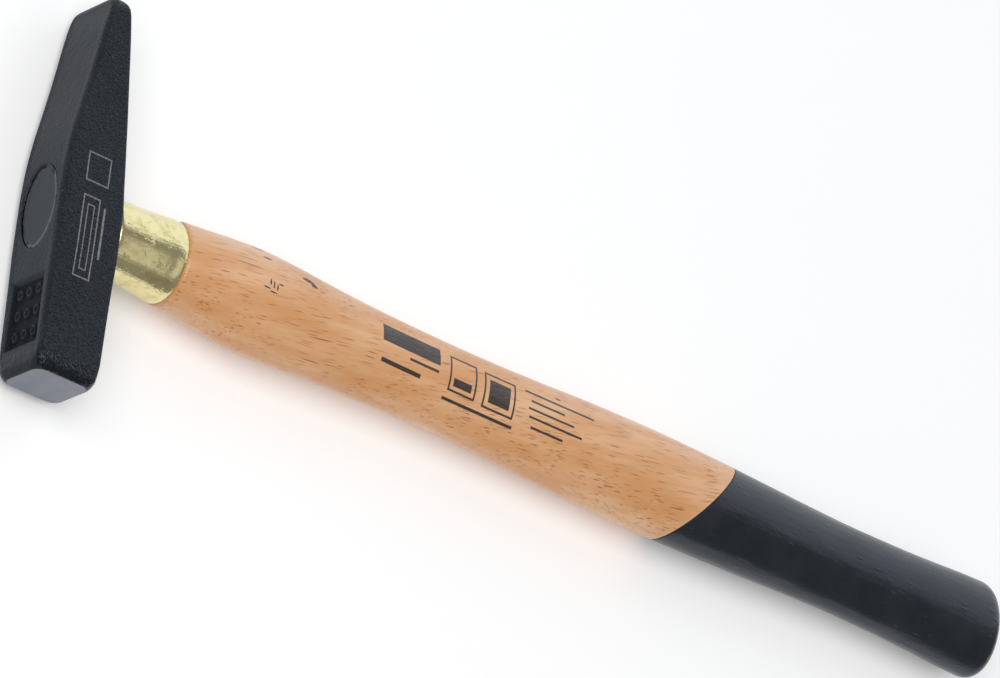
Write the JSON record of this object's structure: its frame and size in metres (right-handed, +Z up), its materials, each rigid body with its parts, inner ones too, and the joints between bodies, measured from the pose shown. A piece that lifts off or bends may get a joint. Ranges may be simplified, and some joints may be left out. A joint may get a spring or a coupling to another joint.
{
  "type": "cross peen hammer",
  "caption": "Small machinist's cross peen hammer: square forged head with wedge peen, oval beech handle, brass neck sleeve and dipped grip.",
  "frame": {"origin": "centre of the bounding box at its lowest point, with the hammer lying on its side", "axes": "+X along the handle from the head to the butt, +Y along the head from the struck face to the peen, +Z up out of the upper cheek of the head"},
  "size_m": [0.2604, 0.0844, 0.0174],
  "materials": {
    "head_paint": "fine-textured black powder coat, bare ground face",
    "beech": "clear-varnished beech",
    "sleeve_brass": "polished pale brass sheet",
    "wedge_wood": "bare sawn hardwood",
    "wedge_steel": "plain drawn steel tube",
    "eye_lacquer": "poured satin black lacquer",
    "grip_lacquer": "semi-gloss dipped black lacquer"
  },
  "bodies": {
    "root": {"hammer_head": "head_paint", "handle": "beech", "ferrule_sleeve": "sleeve_brass", "kerf_wedge": "wedge_wood", "ring_wedge": "wedge_steel", "eye_seal": "eye_lacquer", "grip_dip_coat": "grip_lacquer"}
  },
  "joints": []
}
